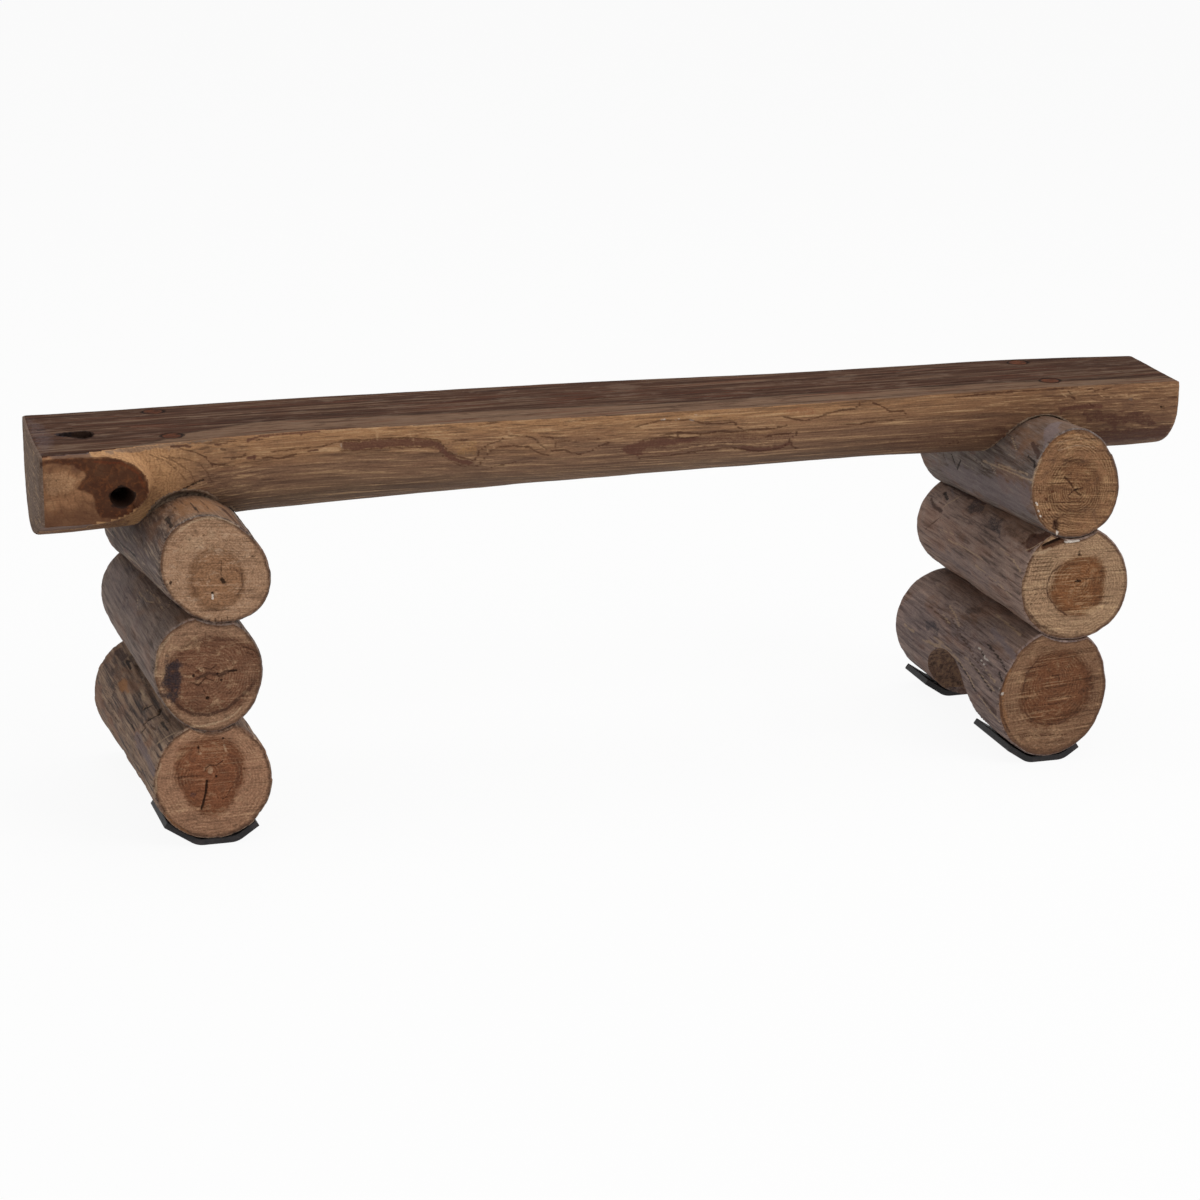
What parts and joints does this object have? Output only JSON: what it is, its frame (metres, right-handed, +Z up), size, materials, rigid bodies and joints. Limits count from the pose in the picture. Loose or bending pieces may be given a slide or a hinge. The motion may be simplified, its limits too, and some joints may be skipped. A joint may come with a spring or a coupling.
{
  "type": "rustic log bench",
  "caption": "Rustic bench: one crooked half-round log, flat sawn on top, half-lapped over stacks of short round logs that stand on bent rubber pads.",
  "frame": {"origin": "on the floor, under the middle of the bench's overall length and depth", "axes": "+X along the seat to its right end as seen from the front, +Y from the front to the back, +Z up"},
  "size_m": [1.406, 0.361, 0.45],
  "materials": {
    "seat_timber": "peeled log, sawn top, dry oil",
    "stack_timber": "peeled and weathered log, rough sawn ends",
    "plug_timber": "sanded flush",
    "zinc_steel": "bright zinc plate",
    "pad_rubber": "matt, cut from belting"
  },
  "bodies": {
    "root": {"seat_beam": "seat_timber", "left_bottom_log": "stack_timber", "left_middle_log": "stack_timber", "left_top_log": "stack_timber", "left_front_foot_pad": "pad_rubber", "left_front_rod": "zinc_steel", "left_front_plug": "plug_timber", "left_back_foot_pad": "pad_rubber", "left_back_rod": "zinc_steel", "left_back_plug": "plug_timber", "right_bottom_log": "stack_timber", "right_middle_log": "stack_timber", "right_top_log": "stack_timber", "right_front_foot_pad": "pad_rubber", "right_front_rod": "zinc_steel", "right_front_plug": "plug_timber", "right_back_foot_pad": "pad_rubber", "right_back_rod": "zinc_steel", "right_back_plug": "plug_timber", "upper_washers": "zinc_steel", "upper_nuts": "zinc_steel", "lower_washers": "zinc_steel", "lower_nuts": "zinc_steel"}
  },
  "joints": []
}
